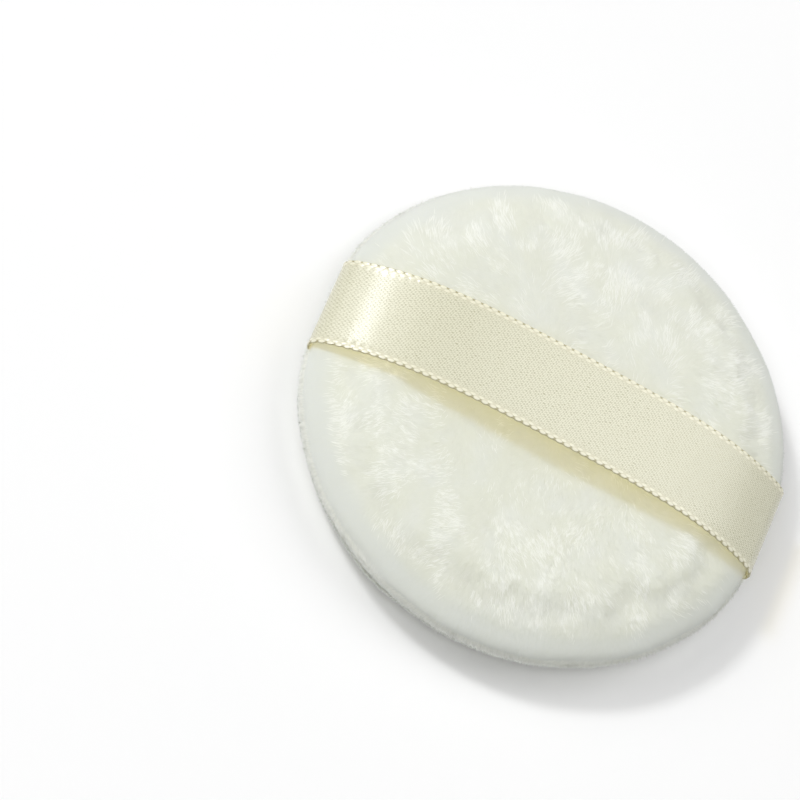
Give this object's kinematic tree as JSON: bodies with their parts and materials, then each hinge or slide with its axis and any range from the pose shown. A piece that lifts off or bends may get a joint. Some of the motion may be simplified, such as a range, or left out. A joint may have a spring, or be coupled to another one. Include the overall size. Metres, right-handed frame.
{
  "type": "powder puff",
  "caption": "Round padded velour powder puff: crowned sewn covers over a sponge core, with a satin ribbon across the front that lifts to let fingers under it.",
  "frame": {"origin": "centre of the flat back face that the puff rests on", "axes": "+Z out of the ribbon face, +X along the ribbon, +Y across the ribbon"},
  "size_m": [0.079, 0.08, 0.0181],
  "materials": {
    "velour": "ivory white pile velour, fluffy on the faces and laid smooth round the rim",
    "sponge": "open-cell polyurethane foam",
    "satin": "champagne satin with beaded woven selvedges",
    "thread": "twisted polyester sewing thread"
  },
  "bodies": {
    "pad": {"front_cover": "velour", "back_cover": "velour", "sponge_core": "sponge", "ribbon_left_end": "satin", "ribbon_right_end": "satin", "needle_thread": "thread", "bobbin_thread": "thread", "closing_thread": "thread"},
    "ribbon": {"ribbon_span": "satin"}
  },
  "joints": [
    {"name": "ribbon_lift", "type": "slide", "parent": "pad", "child": "ribbon", "axis": [0, 0, 1], "range_m": [0, 0.006], "deforming": ["ribbon_left_end", "ribbon_right_end"]}
  ]
}
